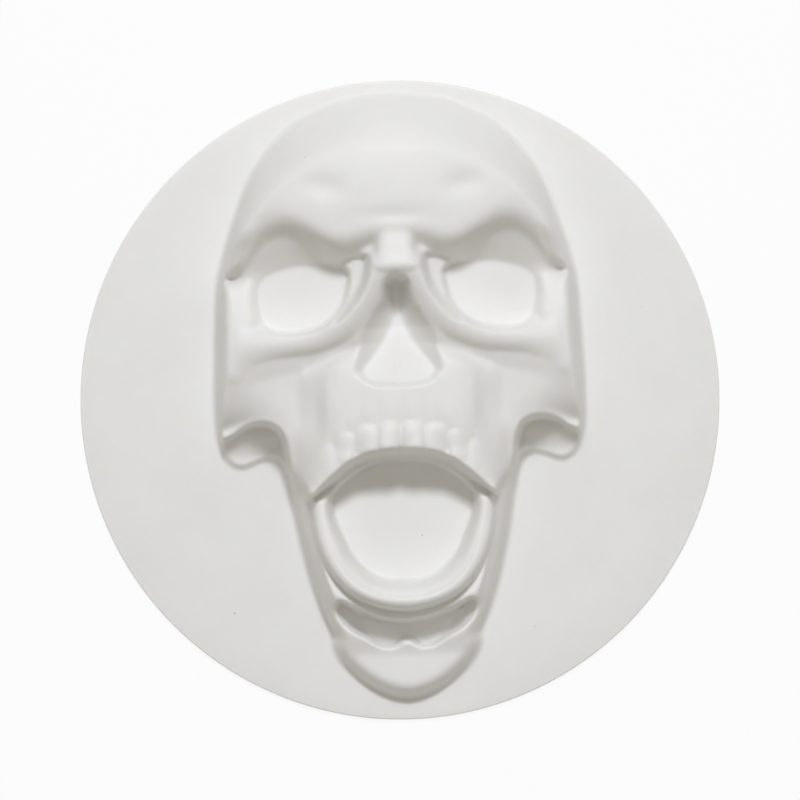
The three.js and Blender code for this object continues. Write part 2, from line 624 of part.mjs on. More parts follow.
const shell = shellSolid();
const [craniumShell, belowBrow] = shell.splitByPlane([0, 1, 0], BROW_CUT);
const [middle, belowMouth] = belowBrow.splitByPlane([0, 1, 0], MOUTH_CUT);
const [jawShell, chinShell] = belowMouth.splitByPlane([0, 1, 0], CHIN_CUT);
const [rightCheek, towardsLeft] = middle.splitByPlane([1, 0, 0], NOSE_CUT);
const [faceShell, leftCheek] = towardsLeft.splitByPlane([1, 0, 0], -NOSE_CUT);

const group = new THREE.Group();
group.name = 'skull_cake_mould';
group.add(named('rim_flange', flangeSolid()));
group.add(named('cranium_shell', craniumShell));
group.add(named('face_shell', faceShell));
group.add(named('right_cheek_shell', rightCheek));
group.add(named('left_cheek_shell', leftCheek));
group.add(named('jaw_shell', jawShell));
group.add(named('chin_shell', chinShell));

export default group;
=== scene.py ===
import math

import bpy
import numpy as np
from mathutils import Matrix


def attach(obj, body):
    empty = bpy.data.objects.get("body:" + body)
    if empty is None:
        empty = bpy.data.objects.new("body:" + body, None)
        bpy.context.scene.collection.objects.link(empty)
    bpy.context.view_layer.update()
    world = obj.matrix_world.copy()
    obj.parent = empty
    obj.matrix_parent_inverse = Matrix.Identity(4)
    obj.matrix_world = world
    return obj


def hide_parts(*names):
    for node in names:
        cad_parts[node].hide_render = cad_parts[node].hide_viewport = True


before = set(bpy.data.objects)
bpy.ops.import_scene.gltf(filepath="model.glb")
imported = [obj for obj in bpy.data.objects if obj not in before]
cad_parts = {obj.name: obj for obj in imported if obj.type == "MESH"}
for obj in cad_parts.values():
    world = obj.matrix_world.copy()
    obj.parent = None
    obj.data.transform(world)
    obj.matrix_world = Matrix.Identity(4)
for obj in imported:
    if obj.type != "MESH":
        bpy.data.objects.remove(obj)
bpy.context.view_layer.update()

# The side wall. The mould is one thin moulding of white silicone, pressed in one shot, and this is
# where its relief rises from the flat flange, along the skull's silhouette. The relief is a height
# over a grid of one half, in millimetres: X across the skull, Y to its crown, Z off the flange.
RELIEF_STEP = 0.4
RELIEF_REACH_X = 76
RELIEF_REACH_Y = 114

half_x = np.arange(0, RELIEF_REACH_X + RELIEF_STEP, RELIEF_STEP)
all_y = np.arange(-RELIEF_REACH_Y, RELIEF_REACH_Y + RELIEF_STEP, RELIEF_STEP)
X, Y = np.meshgrid(half_x, all_y)


def curve(rows, closed=False, steps=6):
    """A smooth curve through rows of numbers, by cubic pieces whose slope at a row is half the way
    from the row before it to the row after it. At the midline, x = 0, it runs straight across."""
    p = np.asarray(rows, float)
    if closed:
        wide = np.vstack([p[-1], p, p[:2]])
    else:
        mirrored = np.r_[-1, np.ones(p.shape[1] - 1)]
        before = p[1] * mirrored if p[0, 0] == 0 else p[0]
        after = p[-2] * mirrored if p[-1, 0] == 0 else p[-1]
        wide = np.vstack([before, p, after])
    a, b, c, d = (wide[k:len(wide) - 3 + k, None, :] for k in range(4))
    t = np.linspace(0, 1, steps, endpoint=False)[None, :, None]
    cubic = 2 * b + (c - a) * t + (2 * a - 5 * b + 4 * c - d) * t**2
    cubic = cubic + (3 * b - a - 3 * c + d) * t**3
    out = 0.5 * cubic.reshape(-1, p.shape[1])
    return np.vstack([out, p[0] if closed else p[-1]])


def nearest(path, reach=16.0):
    """Distance of every knot of the grid to a path, with the path's further values at the nearest
    place: least over the path's straight pieces. Past reach of the path's box it is 99."""
    low, high = path[:, :2].min(0) - reach, path[:, :2].max(0) + reach
    cols = slice(*np.searchsorted(half_x, (low[0], high[0])))
    rows = slice(*np.searchsorted(all_y, (low[1], high[1])))
    x, y = X[rows, cols], Y[rows, cols]
    best = np.full(x.shape, 99.0)
    values = [np.zeros(x.shape) for _ in range(path.shape[1] - 2)]
    for a, b in zip(path[:-1], path[1:]):
        dx, dy = b[:2] - a[:2]
        t = np.clip(((x - a[0]) * dx + (y - a[1]) * dy) / (dx * dx + dy * dy + 1e-12), 0, 1)
        d = np.hypot(x - a[0] - t * dx, y - a[1] - t * dy)
        closer = d < best
        best[closer] = d[closer]
        for value, start, end in zip(values, a[2:], b[2:]):
            value[closer] = (start + t * (end - start))[closer]
    whole = [np.full(X.shape, 99.0)] + [np.zeros(X.shape) for _ in values]
    for target, part in zip(whole, [best] + values):
        target[rows, cols] = part
    return whole


def depth(path, reach=16.0):
    """Distance inside an outline, negative outside: the distance to its path, with its sign from
    how often a line to the right crosses it. A half outline starts and ends on the midline."""
    odd = np.zeros(X.shape, bool)
    for a, b in zip(path[:-1], path[1:]):
        if a[1] != b[1]:
            cross = a[0] + (Y - a[1]) * (b[0] - a[0]) / (b[1] - a[1])
            odd ^= ((a[1] > Y) != (b[1] > Y)) & (X < cross)
    return np.where(odd, 1, -1) * nearest(path[:, :2], reach)[0]


def ease(value):
    """From 0 to 1 with level ends: 3 t squared less 2 t cubed."""
    t = np.clip(value, 0, 1)
    return t * t * (3 - 2 * t)


silhouette = curve([
    (0, 109.0), (11, 108.2), (22, 105.6), (37.6, 97.4), (49.6, 83.4), (57.0, 66.4), (62.2, 50),
    (63.8, 42), (64.6, 32), (65.2, 18), (65.8, 4), (65.4, -10), (62.8, -18.6), (57.8, -22.0),
    (51.2, -19.9), (46.2, -19.4), (42.6, -22.6), (39.9, -32), (37.2, -47), (33.8, -62), (29.6, -75),
    (26.0, -83), (25.8, -88), (22.4, -94.2), (15.2, -100.8), (7.6, -105.0), (0, -106.6)])
edge = depth(silhouette, 60)


def rising(width, power):
    """From 0 at the silhouette to 1 at a width inside it: 1 less a power of the part left to go."""
    return 1 - np.clip(1 - edge / width, 0, 1) ** power


CHEEK_ROLL = 7.2
CHEEK_WALL_HEIGHT = 28
JAW_ROLL = 2.6
JAW_FLARE = 4.6
CHIN_ROLL = 8.5
CHIN_WALL_HEIGHT = 13.5
on_jaw, on_chin = ease((-22 - Y) / 12), ease((-78 - Y) / 9)
cheek_wall = CHEEK_WALL_HEIGHT * rising(CHEEK_ROLL, 2.8) + 3 * np.maximum(edge - CHEEK_ROLL, 0)
jaw_wall = 7 * rising(JAW_ROLL, 2) + 2.2 * np.maximum(edge, 0) + 5 * np.maximum(edge - JAW_FLARE, 0)
chin_wall = CHIN_WALL_HEIGHT * rising(CHIN_ROLL, 2.2) + 3 * np.maximum(edge - CHIN_ROLL, 0)
side_wall = cheek_wall + (jaw_wall - cheek_wall) * on_jaw + (chin_wall - jaw_wall) * on_chin
crown_wall = rising(5 + 20 * ease((Y - 56) / 46), 2.7)


# Crown, forehead and brow. The highest part of the silicone moulding is one broad dome, which
# swells a little along the brow and then rolls over into the eye sockets.
def bump(cx, cy, a, b, turn=0.0):
    """A soft bump: e to the minus squared distance, measured in its own two half widths."""
    c, s = math.cos(math.radians(turn)), math.sin(math.radians(turn))
    u, v = (X - cx) * c + (Y - cy) * s, (Y - cy) * c - (X - cx) * s
    return np.exp(-(u / a) ** 2 - (v / b) ** 2)


DOME_HEIGHT = 48.5
DOME_HALF_WIDTH = 62
DOME_SIDE_FALL = 13
DOME_BACK_START = 66
DOME_BACK_LENGTH = 43
DOME_BACK_FALL = 8
brow = curve([
    (0, 64.6, 48), (7, 64.4, 47.6), (13, 63.2, 47), (20, 61.4, 46.4), (26, 63.8, 46.2),
    (32, 67, 45.2), (39, 70.8, 43.8), (46, 70.8, 41.4), (52, 67, 38.4), (57, 61.6, 34.8),
    (61, 56, 30.6), (66, 49.6, 25)])
brow_foot = curve([
    (0, 55.4, 41), (8, 55, 39), (12, 53.8, 37.4), (17.5, 51.4, 34.4), (22.8, 52.4, 33.6),
    (28, 55.4, 34.2), (32, 57.8, 34.2), (37, 59.8, 33.8), (42, 59.6, 32.8), (47, 57, 30.6),
    (51.5, 52, 27.6), (54.6, 47.8, 24), (58, 45.6, 19), (66, 44.2, 13.6)])
crest_y, crest_z = (np.interp(X, brow[:, 0], brow[:, k]) for k in (1, 2))
foot_y, foot_z = (np.interp(X, brow_foot[:, 0], brow_foot[:, k]) for k in (1, 2))


def dome(y):
    """Height of the dome at a y: it falls off by a power of X, and by a square past the brow."""
    side_fall = DOME_SIDE_FALL * (X / DOME_HALF_WIDTH) ** 2.2
    back_fall = DOME_BACK_FALL * (np.maximum(0, y - DOME_BACK_START) / DOME_BACK_LENGTH) ** 2
    return DOME_HEIGHT - side_fall - back_fall


crown = dome(Y) + (crest_z - dome(crest_y)) * np.exp(-np.maximum(Y - crest_y, 0) / 11)
roll = np.clip((crest_y - Y) / (crest_y - foot_y), 0, 1)
rolled = crest_z - (crest_z - foot_z) * (0.04 * roll + 0.96 * roll**3.2)
crown = np.where(Y < crest_y, rolled, crown)


# Face. The same silicone skin runs on over the cheeks and the upper jaw. Along named lines of the
# skull its height is given, and in between it settles like a membrane with a little pressure under.
SETTLING_ROUNDS = 160
OVERSHOOT = 1.7
PRESSURE = 0.02


def settled(base, held, lines, coarse=8):
    """A skin over lines: each free knot takes the mean of its four neighbours and a little more,
    round and round, on a coarse grid first and then on finer ones. Held knots keep the base."""
    skin = None
    while coarse >= 1:
        fixed, target = held[::coarse, ::coarse].copy(), base[::coarse, ::coarse].copy()
        for line in lines:
            path = curve(line, steps=40)
            i = np.rint(path[:, 0] / RELIEF_STEP / coarse).astype(int)
            j = np.rint((path[:, 1] - all_y[0]) / RELIEF_STEP / coarse).astype(int)
            on = (i >= 0) & (i < fixed.shape[1]) & (j >= 0) & (j < fixed.shape[0])
            fixed[j[on], i[on]] = True
            target[j[on], i[on]] = path[on, 2]
        if skin is None:
            skin = target.copy()
        else:
            skin = np.repeat(np.repeat(skin, 2, 0), 2, 1)[:fixed.shape[0], :fixed.shape[1]]
        skin[fixed] = target[fixed]
        lift = PRESSURE * (RELIEF_STEP * coarse) ** 2 / 4
        checker = np.indices(skin.shape).sum(0) % 2
        for turn in range(SETTLING_ROUNDS):
            wide = np.pad(skin, 1, mode="edge")
            wide[:, 0] = wide[:, 2]
            mean = wide[:-2, 1:-1] + wide[2:, 1:-1] + wide[1:-1, :-2] + wide[1:-1, 2:]
            mean = mean / 4 + lift
            free = ~fixed & (checker == turn % 2)
            skin[free] += OVERSHOOT * (mean - skin)[free]
        coarse //= 2
    return skin


def softened(height, passes):
    """Height after passes of the weights 1 2 1 across and along; the grid mirrors at x = 0."""
    for _ in range(passes):
        wide = np.pad(height, 1, mode="edge")
        wide[:, 0] = wide[:, 2]
        height = (wide[1:-1, :-2] + 2 * wide[1:-1, 1:-1] + wide[1:-1, 2:]) / 4
        wide = np.pad(height, 1, mode="edge")
        height = (wide[:-2, 1:-1] + 2 * wide[1:-1, 1:-1] + wide[2:, 1:-1]) / 4
    return height


socket_floor = depth(curve([
    (17.3, 45.6), (17.3, 42.4), (18.3, 37.4), (20.4, 33), (23.4, 29.6), (27.6, 27), (33, 25.4),
    (39, 24.9), (44.6, 25.6), (48.2, 28.6), (49.6, 33.4), (50.2, 38.6), (49.4, 43), (46.8, 45.8),
    (41, 48.2), (33, 49.4), (25.6, 49.4), (19.6, 48.2)], closed=True))
socket_level = 21 + 0.14 * np.clip(50 - X, 0, 33)
socket_top = [
    (17.6, 49.8, 31), (22, 50.6, 30.8), (28, 52.6, 30), (33, 53.2, 28.2), (38, 52.4, 26.8),
    (43.5, 50.2, 25), (49.6, 46.8, 23)]
arm_line = [
    (7.6, 43.8, 46.2), (10.6, 38.6, 44), (14.6, 32.4, 41), (19.2, 27.6, 38.4), (25, 24.4, 35.8),
    (32, 22.7, 33.6), (40, 22, 32), (47, 21.8, 31), (54, 22, 29.6)]
side_inner = [(51.8, 42.6, 24), (52, 36, 25.4), (51.4, 30, 27.6)]
side_outer = [(60, 42.4, 24), (60, 36, 25.8), (59.4, 27, 27.4), (58.6, 18, 27.6), (58.6, 11, 26.6)]
under_rim = [
    (14.6, 19.6, 36.4), (20, 17.6, 33.6), (25.5, 15.2, 31.4), (31, 13, 29.3), (37, 11, 28.4),
    (43, 9.6, 27.4), (49, 8.2, 25.8), (55, 5, 24.4), (61, 2, 22)]
plate_top = [(13.8, 15.8, 38), (17, 14.8, 37.8), (21, 13.8, 37.4), (25, 11.8, 36.4)]
plate_side = [
    (25.2, 12, 36.2), (25.8, 6, 37), (26, 0, 37.2), (26, -6, 37), (26.2, -11.5, 36.2),
    (28.6, -17, 34.6), (32, -24, 31.6), (34.4, -30, 28)]
plate_front = [(14.5, 11, 38.8), (14.8, 0, 39.6), (14.5, -9, 39.2), (15, -18, 37.4)]
plate_edge = [(21.4, 12, 38), (21.8, 0, 38.8), (21.8, -9, 38.4), (22.6, -18, 36)]
plate_middle = [(0, 5, 39.6), (0, -4, 40.2), (0, -18, 39.4)]
plate_foot = [
    (29, 12.4, 32.4), (29.2, 6, 33.2), (29.2, 0, 33), (29.4, -5, 32.4), (30.6, -10.6, 31.4),
    (33.6, -17, 29), (36, -24, 25.4)]
cheek_step = [
    (34, 13, 30.2), (35.6, 5, 28.2), (36, -4, 27.6), (37, -11, 28), (38.2, -20, 24),
    (38.4, -30, 18)]
cheek_edge = [
    (42.6, -8.4, 25.6), (46.8, -6.4, 24.4), (52, -5.6, 20.6), (56.6, -6.6, 16.4), (61, -8.6, 12),
    (66, -10, 8)]
held = (Y > foot_y) | (socket_floor > 0)
face = settled(np.where(socket_floor > 0, socket_level, crown), held, [
    socket_top, arm_line, side_inner, side_outer, under_rim, plate_top, plate_side,
    plate_edge, plate_front, plate_middle, plate_foot, cheek_step, cheek_edge])
face = softened(face, 12)
brow_end, forehead_dent = bump(59.5, 45, 3.6, 1.8), bump(24.8, 76.2, 7, 4, 8)
frown, cheek_swell = bump(0, 65.6, 11, 2.8), bump(45, -1.5, 8, 6)
face -= 3.2 * brow_end
face -= 1.1 * forehead_dent + 0.8 * frown - 0.6 * cheek_swell


# Nasal bone, its two arms and the rim under the eyes. They are ridges pressed up in the skin: a
# short flat-topped one, and from it a rolled arm down each side and out below the socket.
def higher(a, b, soft):
    """The higher of two surfaces, with the corner between them filled over the soft height."""
    return np.maximum(a, b) + np.maximum(soft - np.abs(a - b), 0) ** 2 / (4 * soft)


def lower(a, b, soft):
    """The lower of two surfaces, rounded over the soft height."""
    return -higher(-a, -b, soft)


def ridge(rows, slope, reach=16.0):
    """A ridge along rows of x, y, crest height and crest radius: a circle across the path until it
    is as steep as the slope, and then a straight flank."""
    d, z, r = nearest(curve(rows), reach)
    r = np.maximum(r, 0.1)
    turn = r * slope / math.hypot(1, slope)
    height = z - r + np.sqrt(np.maximum(r**2 - np.minimum(d, turn) ** 2, 0))
    return height - slope * np.maximum(d - turn, 0)


def plateau(rows, top, roundness, slope):
    """A raised area: level inside its outline, rolled over a circle at its edge, then a flank."""
    inside = depth(curve(rows))
    roll = np.clip(1 - inside / roundness, 0, 1)
    return top - roundness * (1 - np.sqrt(1 - roll**2 * 0.96)) - slope * np.maximum(-inside, 0)


nasal_arm = ridge([
    (0, 49.2, 50.6, 5), (4, 48, 50.2, 5.4), (7.6, 44, 48.8, 6), (11, 38.4, 46.4, 6.4),
    (15, 32.4, 43.6, 6.4), (19.6, 27.8, 41, 6), (25.4, 24.4, 38.2, 5.4), (32, 22.3, 35.8, 5),
    (40, 21.4, 33.8, 5), (47, 20.8, 32, 5.6), (54, 18.8, 29.6, 7.4), (59, 14, 27.4, 8)], 2.4)
face = higher(face, nasal_arm, 2)
bone_top = 46.4 + 5.4 * np.clip((61 - Y) / 14, -0.5, 1)
nasal_bone = plateau([
    (0, 62.6), (3.6, 61.9), (5.9, 59.4), (6.5, 55.6), (6.8, 51), (7.6, 47.2), (4.4, 45.4),
    (0, 45.2)], bone_top, 4.2, 3.4)
face = higher(face, nasal_bone, 2.4)

# Tear bones. Between each arm and the socket the skin makes a narrow flat facet, pressed in with a
# crease on both sides.
tear_bone = depth(curve([
    (11.4, 55.4), (11.2, 48.6), (12.9, 42), (15.8, 36.6), (20.2, 31.2), (22.6, 29.4), (20.6, 33.6),
    (18.4, 38), (17.4, 43), (17.2, 48), (17.2, 54), (14.4, 56)], closed=True))
tear_level = 32 + 0.22 * np.maximum(Y - 44, -8) - 0.2 * (X - 14) + 0.9 * np.maximum(Y - 51, 0)
face = higher(face, tear_level - 8 * np.maximum(-tear_bone, 0), 0.6)
face = lower(face, tear_level + 6 * np.maximum(-tear_bone, 0) + 2.5 * np.maximum(Y - 51, 0), 0.8)

# Upper teeth. Six crowns on each side stand a little proud of the jaw's skin, fainter outwards,
# with faint swellings of their roots above. Below them the jaw and the cheek end in a cliff.
teeth = np.zeros(X.shape)
for x, y, half_width, half_height, lean in [
        (4.2, -13.0, 4.3, 5.4, -2), (12.6, -13.8, 4.1, 5.4, -8), (20.2, -16.2, 3.7, 5.6, -18),
        (26.8, -20.4, 3.6, 5.8, -30), (31, -25.6, 3.2, 5.4, -38), (34, -30.4, 2.6, 4.4, -46)]:
    c, s = math.cos(math.radians(lean)), math.sin(math.radians(lean))
    u, v = ((X - x) * c - (Y - y) * s) / half_width, ((X - x) * s + (Y - y) * c) / half_height
    tooth = (2.2 - 0.04 * x) * np.sqrt(np.maximum(1 - np.abs(u) ** 2.7 - np.abs(v) ** 3, 0))
    root = 0.5 * np.exp(-(u / 0.75) ** 2 - ((v - 1.7) / 1.1) ** 2)
    teeth = np.maximum(teeth, np.maximum(tooth, root))
face += teeth
foot_line = curve([
    (75, -11.6), (66, -11.2), (61, -9.8), (56.6, -7.4), (52, -6.2), (46.8, -6.8), (42.6, -9.2),
    (40.6, -14), (39, -22), (37.6, -30), (35, -34.2), (31.8, -33.4), (25.8, -28.2), (20.2, -23.8),
    (15, -21), (10, -19.6), (0, -18.8)])
below = [(-40, -18.8), (-40, -140), (90, -140), (90, -11.6), (75, -11.6)]
above_foot = -depth(np.vstack([foot_line, below]), 60)
cliff = 6 - 3.5 * ease((X - 42) / 6) + 9 * np.maximum(above_foot + 2.6, 0)
cliff_edge = 1.6 + 1.4 * ease((X - 38) / 4) + 4 * ease((X - 56) / 6)
relief = lower(face, cliff, cliff_edge)

# Lobe behind each cheek. It is a low swelling of the skin, between the cheek's dark hollow and the
# flange, and slopes down to the flange.
lobe = plateau([
    (38, -4), (68, -4), (68, -12), (64, -19), (57.8, -22), (50.5, -20), (45.6, -19), (41, -22),
    (38, -22), (38, -4)],
    4.2 + 0.75 * np.clip(Y + 16, -6, 4), 3, 1)
relief = higher(relief, lobe, 1.5)

# Eye sockets. Each is a nearly level floor of the same skin, sunk into the face with a crisp edge,
# which is gentler along the outer side.
rise = 12 - 7 * ease((X - 44) / 5) * ease((Y - 27) / 5)
pit = socket_level - 0.25 * np.sqrt(np.maximum(socket_floor, 0) + 0.01)
relief = lower(relief, pit + rise * np.maximum(-socket_floor, 0), 1.0)

# Nose. It is a hollow pressed into the face, and its floor rises towards the teeth until it is
# nearly level with the jaw.
nose = depth(curve([
    (0, 42.4), (1.6, 41.4), (2, 38.6), (1.8, 34), (1.9, 30), (4.4, 23), (8, 17.6), (11.6, 13),
    (12.9, 10.2), (11.4, 7.4), (7, 5.9), (0, 5.6)]))
nose_floor = 37.2 - 0.6 * np.clip(Y - 6, 0, 20) + 0.35 * np.maximum(Y - 32, 0)
nose_floor += 0.6 * bump(0, 12, 1.6, 9)
steep = np.interp(Y, (7, 10, 20, 26, 32, 38, 44), (6, 1.8, 1.3, 1.8, 2.6, 6, 8))
pit = nose_floor + steep * np.maximum(-nose, 0) + 3 * np.maximum(Y - 42.5, 0)
relief = lower(relief, pit, 1.6)

# Lower jaw and chin. The rim of the lower teeth is a rolled band of the skin round the open mouth,
# and the gum line is a thinner ridge under it. The flat chin lies below a deep recess.
MOUTH_LEVEL = 15
RECESS_LEVEL = 2
mouth = depth(curve([
    (0, -21.4), (8, -22), (14, -24.2), (20, -28.2), (24.4, -32.2), (25.6, -36), (24.6, -42),
    (22, -48.6), (18.4, -56), (12.6, -61.8), (6.6, -64.4), (0, -65)]))
lower_teeth = plateau([
    (0, -74.2), (6, -73.6), (12.5, -71.8), (19, -68.4), (25, -62), (29, -54.6), (31.4, -46),
    (32.2, -36), (32, -27), (28, -21), (0, -17)],
    30.5 - 0.1 * np.maximum(Y + 66, 0) - 1.5 * np.maximum(Y + 35, 0), 3.6, 6)
lower_gum = ridge([
    (0, -77, 20, 3.4), (8.6, -76.2, 20.6, 3.4), (16, -74, 22, 3.2), (23, -70, 22.4, 3),
    (27.6, -65, 22, 2.8), (31.2, -57.3, 21.4, 2.4), (33.6, -49, 20, 2.2), (35.2, -40, 18.6, 2.2),
    (36.6, -30, 16.6, 2.4), (37.6, -22, 15, 2.6)], 2.6)
from_mouth = np.maximum(-mouth, 0)
inner_side = MOUTH_LEVEL + 14 * np.sqrt(1 - np.clip(1 - from_mouth / 5, 0, 1) ** 2.4)
inner_side += 3 * np.maximum(from_mouth - 5, 0)
lower_teeth = lower(lower_teeth, inner_side, 1)
sides = plateau([
    (0, -10), (34, -10), (37.6, -20), (38.8, -30), (38, -47), (34.8, -62), (30.6, -75), (27.5, -84),
    (26, -92), (16, -103), (0, -108)],
    20 - 6 * ease((-64 - Y) / 12) - 3.4 * ease((-82 - Y) / 10), 5, 4)
jaw = higher(higher(lower_teeth, lower_gum, 1), sides, 3)
recess = depth(curve([
    (0, -80.2), (9, -79), (17, -76), (23.8, -72.2), (24, -77.2), (19.4, -81.4), (13.8, -84.4),
    (9, -87.2), (4.8, -87.4), (2, -85.8), (0, -85.4)]))
recess_floor = RECESS_LEVEL + 0.9 * np.maximum(X - 13, 0)
jaw = lower(jaw, recess_floor + 10 * np.maximum(-recess, 0), 0.4)
relief = higher(relief, jaw - 60 * np.maximum(Y + 13, 0), 2)
relief = lower(relief, MOUTH_LEVEL + 30 * from_mouth, 0.8)

# The finished moulding. It is one skin of matte white silicone: the relief with a fillet at its
# foot, an even wall with the cavity under it, and the flat round flange, which carries both skins
# to one rounded rim. Pressed silicone is a little soft everywhere, so the relief is blurred.
FLANGE_RADIUS = 115.0
FLANGE_THICKNESS = 2.0
WALL_THICKNESS = 2.0
FOOT_WIDTH = 2.8
FOOT_HEIGHT = 2.0
on_crown = ease((Y - 46) / 16)
rounded = relief * crown_wall + FOOT_HEIGHT * np.exp(-np.maximum(edge, 0) / FOOT_WIDTH)
relief = lower(relief, side_wall + FOOT_HEIGHT, 4) * (1 - on_crown) + rounded * on_crown
relief = np.maximum(relief, 0)
fillet = FOOT_HEIGHT * np.maximum(1 + np.minimum(edge, 0) / FOOT_WIDTH, 0) ** 2
relief = np.where(edge > 0, relief, fillet)
relief = softened(relief, 2) * ease(edge / FOOT_WIDTH + 1)


def shifts(height, reach):
    """Every shift of a height by up to reach knots, with the knots that it is shifted by."""
    padding = ((reach, reach), (0, reach))
    wide = np.pad(np.hstack([height[:, reach:0:-1], height]), padding, mode="edge")
    for j in range(2 * reach + 1):
        for i in range(2 * reach + 1):
            yield i - reach, j - reach, wide[j:j + X.shape[0], i:i + X.shape[1]]


# The cavity's skin is the lowest place that a ball of the wall's thickness, rolled over the top
# skin, reaches down to. Then it keeps clear of the steep places by the least height round it.
CLEARANCE_KNOTS = 3
cavity = np.full(X.shape, 99.0)
for di, dj, shifted in shifts(relief, int(math.ceil(WALL_THICKNESS / RELIEF_STEP))):
    drop = WALL_THICKNESS**2 - (di * di + dj * dj) * RELIEF_STEP**2
    if drop >= 0:
        cavity = np.minimum(cavity, shifted - math.sqrt(drop))
cavity = np.min([shifted for _, _, shifted in shifts(cavity, CLEARANCE_KNOTS)], axis=0)
cavity = np.maximum(softened(cavity + WALL_THICKNESS, 2) - 0.02, 0)


def sample(height, x, y):
    """Height at any place, from the four knots round it."""
    u, v = np.abs(x) / RELIEF_STEP, (y - all_y[0]) / RELIEF_STEP
    i, j = np.minimum(u.astype(int), X.shape[1] - 2), np.clip(v.astype(int), 0, X.shape[0] - 2)
    a, b = np.minimum(u - i, 1), v - j
    near = height[j, i] * (1 - a) + height[j, i + 1] * a
    far = height[j + 1, i] * (1 - a) + height[j + 1, i + 1] * a
    return near * (1 - b) + far * b


def evened(values, reach):
    """Running mean of a padded row of values, weighted by a raised cosine of the given reach."""
    weights = np.hanning(2 * reach + 3)[1:-1]
    return np.convolve(values, weights / weights.sum(), mode="valid")


# The mesh has stations round the silhouette, a little wider apart on the smooth crown. From each
# one a row runs in to its own place on the midline, the spine, which moves on slowly beside the
# face and faster past its ends, and another row runs out over the foot to the rim.
STATIONS = 560
TOP_RINGS = 96
UNDER_RINGS = 60
DIRECTION_SPAN = 8
SPINE_REACH = 30
BEARING_REACH = 40
paces = np.hypot(*np.diff(silhouette, axis=0).T)
walk = np.r_[0, np.cumsum(paces * (1 - 0.4 * ease((silhouette[1:, 1] - 56) / 14)))]
stops = np.linspace(0, walk[-1], STATIONS // 2 + 1)
right = np.c_[np.interp(stops, walk, silhouette[:, 0]), np.interp(stops, walk, silhouette[:, 1])]
reached = np.minimum.accumulate(right[:, 1])
spine = 17 + 0.2 * (np.clip(reached, -22, 26) + 22)
spine += 0.65 * np.maximum(reached - 26, 0) - 0.88 * np.maximum(-22 - reached, 0)
spine = evened(np.pad(spine, SPINE_REACH, mode="edge"), SPINE_REACH)
outer = np.vstack([right, right[-2:0:-1] * (-1, 1)])
spine = np.r_[spine, spine[-2:0:-1]]
along = np.roll(outer, -DIRECTION_SPAN, 0) - np.roll(outer, DIRECTION_SPAN, 0)
outward = np.c_[-along[:, 1], along[:, 0]] / np.hypot(*along.T)[:, None]
foot_end = outer + outward * FOOT_WIDTH
middle = 18 - 0.7 * np.maximum(-30 - outer[:, 1], 0)
bearing = np.unwrap(np.arctan2(outer[:, 1] - middle, outer[:, 0]))
bearing = evened(np.r_[
    bearing[-BEARING_REACH:] + 2 * math.pi, bearing, bearing[:BEARING_REACH] - 2 * math.pi],
    BEARING_REACH)
toward_rim = np.c_[np.cos(bearing), np.sin(bearing)]


def rows_to(shares):
    """Points on the way from the midline to the silhouette, one column for each share."""
    x = outer[:, None, 0] * shares
    y = spine[:, None] + (outer[:, None, 1] - spine[:, None]) * shares
    return x, y


def between(a, b, shares):
    """Points on the straight way from one ring to another."""
    x = a[:, None, 0] + (b[:, None, 0] - a[:, None, 0]) * shares
    y = a[:, None, 1] + (b[:, None, 1] - a[:, None, 1]) * shares
    return x, y


RIM_ROUNDING = 0.5
inner_rim = toward_rim * (FLANGE_RADIUS - RIM_ROUNDING)
top_x, top_y = rows_to(1 - (1 - np.linspace(0, 1, TOP_RINGS)) ** 1.25)
foot_x, foot_y = between(outer, foot_end, np.linspace(0, 1, 7)[1:])
flat_x, flat_y = between(foot_end, inner_rim, np.array([0.35, 0.7, 1]))
x = np.hstack([top_x, foot_x, flat_x])
y = np.hstack([top_y, foot_y, flat_y])
z = FLANGE_THICKNESS + sample(relief, x, y)
z[:, -flat_x.shape[1] - 1:] = FLANGE_THICKNESS

# Round the rim each row turns by half a circle, in two quarters with a short straight between.
rim_degrees = np.array([18, 45, 72, 90, 108, 135, 162, 180])
rim_turn = np.radians(rim_degrees)
rim_radius = FLANGE_RADIUS - RIM_ROUNDING + RIM_ROUNDING * np.sin(rim_turn)
rim_x, rim_y = toward_rim[:, :1] * rim_radius, toward_rim[:, 1:] * rim_radius
rim_middle = np.where(rim_degrees <= 90, FLANGE_THICKNESS - RIM_ROUNDING, RIM_ROUNDING)
rim_z = np.tile(rim_middle + RIM_ROUNDING * np.cos(rim_turn), (STATIONS, 1))

# Under the flange, at 0, it runs back in, and then up over the cavity to the midline again.
in_x, in_y = rows_to(1 - (1 - np.linspace(0, 1, UNDER_RINGS)) ** 1.3)
under_x = np.hstack([flat_x[:, 1::-1], foot_x[:, ::-2], in_x[:, ::-1]])
under_y = np.hstack([flat_y[:, 1::-1], foot_y[:, ::-2], in_y[:, ::-1]])
under_z = sample(cavity, under_x, under_y)
under_z[:, :3] = 0
grid = np.stack([
    np.hstack([x, rim_x, under_x]), np.hstack([y, rim_y, under_y]), np.hstack([z, rim_z, under_z])],
    axis=2) / 1000

